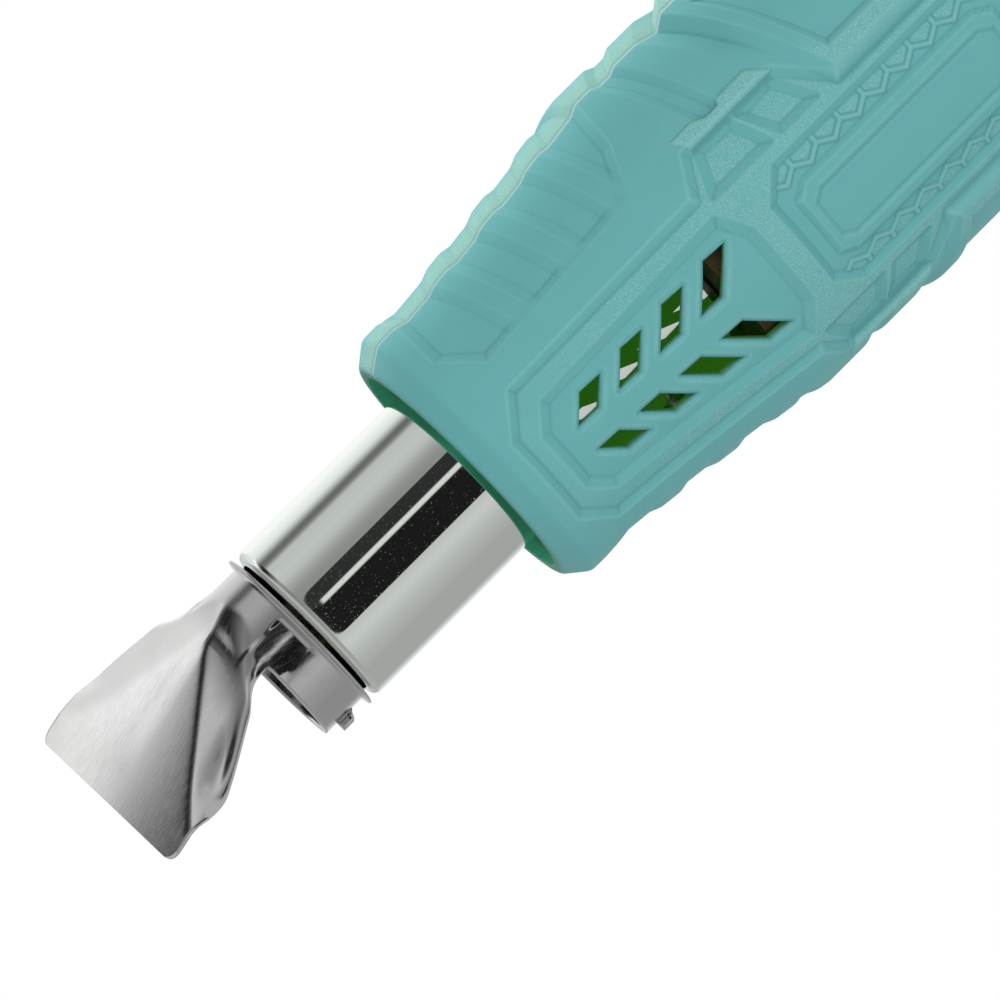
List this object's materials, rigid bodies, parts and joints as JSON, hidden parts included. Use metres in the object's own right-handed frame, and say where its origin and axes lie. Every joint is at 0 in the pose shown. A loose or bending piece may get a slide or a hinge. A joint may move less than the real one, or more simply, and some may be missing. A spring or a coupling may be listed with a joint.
{
  "type": "hot air tool",
  "caption": "Straight craft hot air tool with a pale teal moulded body, a chromed barrel tube and a pressed steel deflector nozzle, standing on its tail.",
  "frame": {"origin": "centre of the bounding box's bottom face, in the flat tail the tool stands on", "axes": "+Z from the tail to the nozzle, -Y out of the front shell with the switch"},
  "size_m": [0.068, 0.0662, 0.2529],
  "materials": {
    "shell": "satin moulded plastic",
    "chrome": "polished",
    "stainless": "polished sheet with fine scratches",
    "steel": "plain",
    "phenolic": "dull",
    "mica": "dull",
    "nichrome": "heat darkened",
    "black": "fine texture",
    "brass": "plain",
    "ferrite": "dull",
    "fan": "natural",
    "copper": "lacquered",
    "board": "solder mask",
    "capacitor": "smooth"
  },
  "bodies": {
    "housing": {"front_shell": "shell", "rear_shell": "shell", "barrel_tube": "chrome", "barrel_mount_ring": "phenolic", "mica_liner": "mica", "heater_plate_a": "mica", "heater_plate_b": "mica", "heating_coil": "nichrome", "thermal_cutout": "steel", "thermal_fuse": "steel", "motor_frame": "black", "motor_can": "steel", "motor_end_cap": "black", "motor_magnet_a": "ferrite", "motor_magnet_b": "ferrite", "front_bush": "brass", "rear_bush": "brass", "motor_screw_1": "steel", "motor_screw_2": "steel", "circuit_board": "board", "rectifier_bridge": "black", "suppressor_capacitor": "capacitor", "switch_body": "black", "switch_terminal_1": "brass", "switch_terminal_2": "brass", "switch_terminal_3": "brass", "cord_gland": "black", "cord_clamp": "black", "clamp_screw_1": "steel", "clamp_screw_2": "steel", "shell_screw_1": "steel", "shell_screw_2": "steel", "shell_screw_3": "steel", "shell_screw_4": "steel"},
    "rotor": {"motor_shaft": "steel", "armature_core": "copper", "commutator": "copper", "fan_impeller": "fan"},
    "rocker": {"switch_rocker": "black"},
    "nozzle": {"deflector_nozzle": "stainless"}
  },
  "joints": [
    {"name": "fan_spin", "type": "hinge", "parent": "housing", "child": "rotor", "pos_m": [0, 0, 0.1], "axis": [0, 0, 1], "continuous": true},
    {"name": "rocker_tip", "type": "hinge", "parent": "housing", "child": "rocker", "pos_m": [0, -0.0232, 0.02], "axis": [1, 0, 0], "range_deg": [-12, 12]},
    {"name": "nozzle_pull", "type": "slide", "parent": "housing", "child": "nozzle", "axis": [0, 0, 1], "range_m": [0, 0.02]}
  ]
}
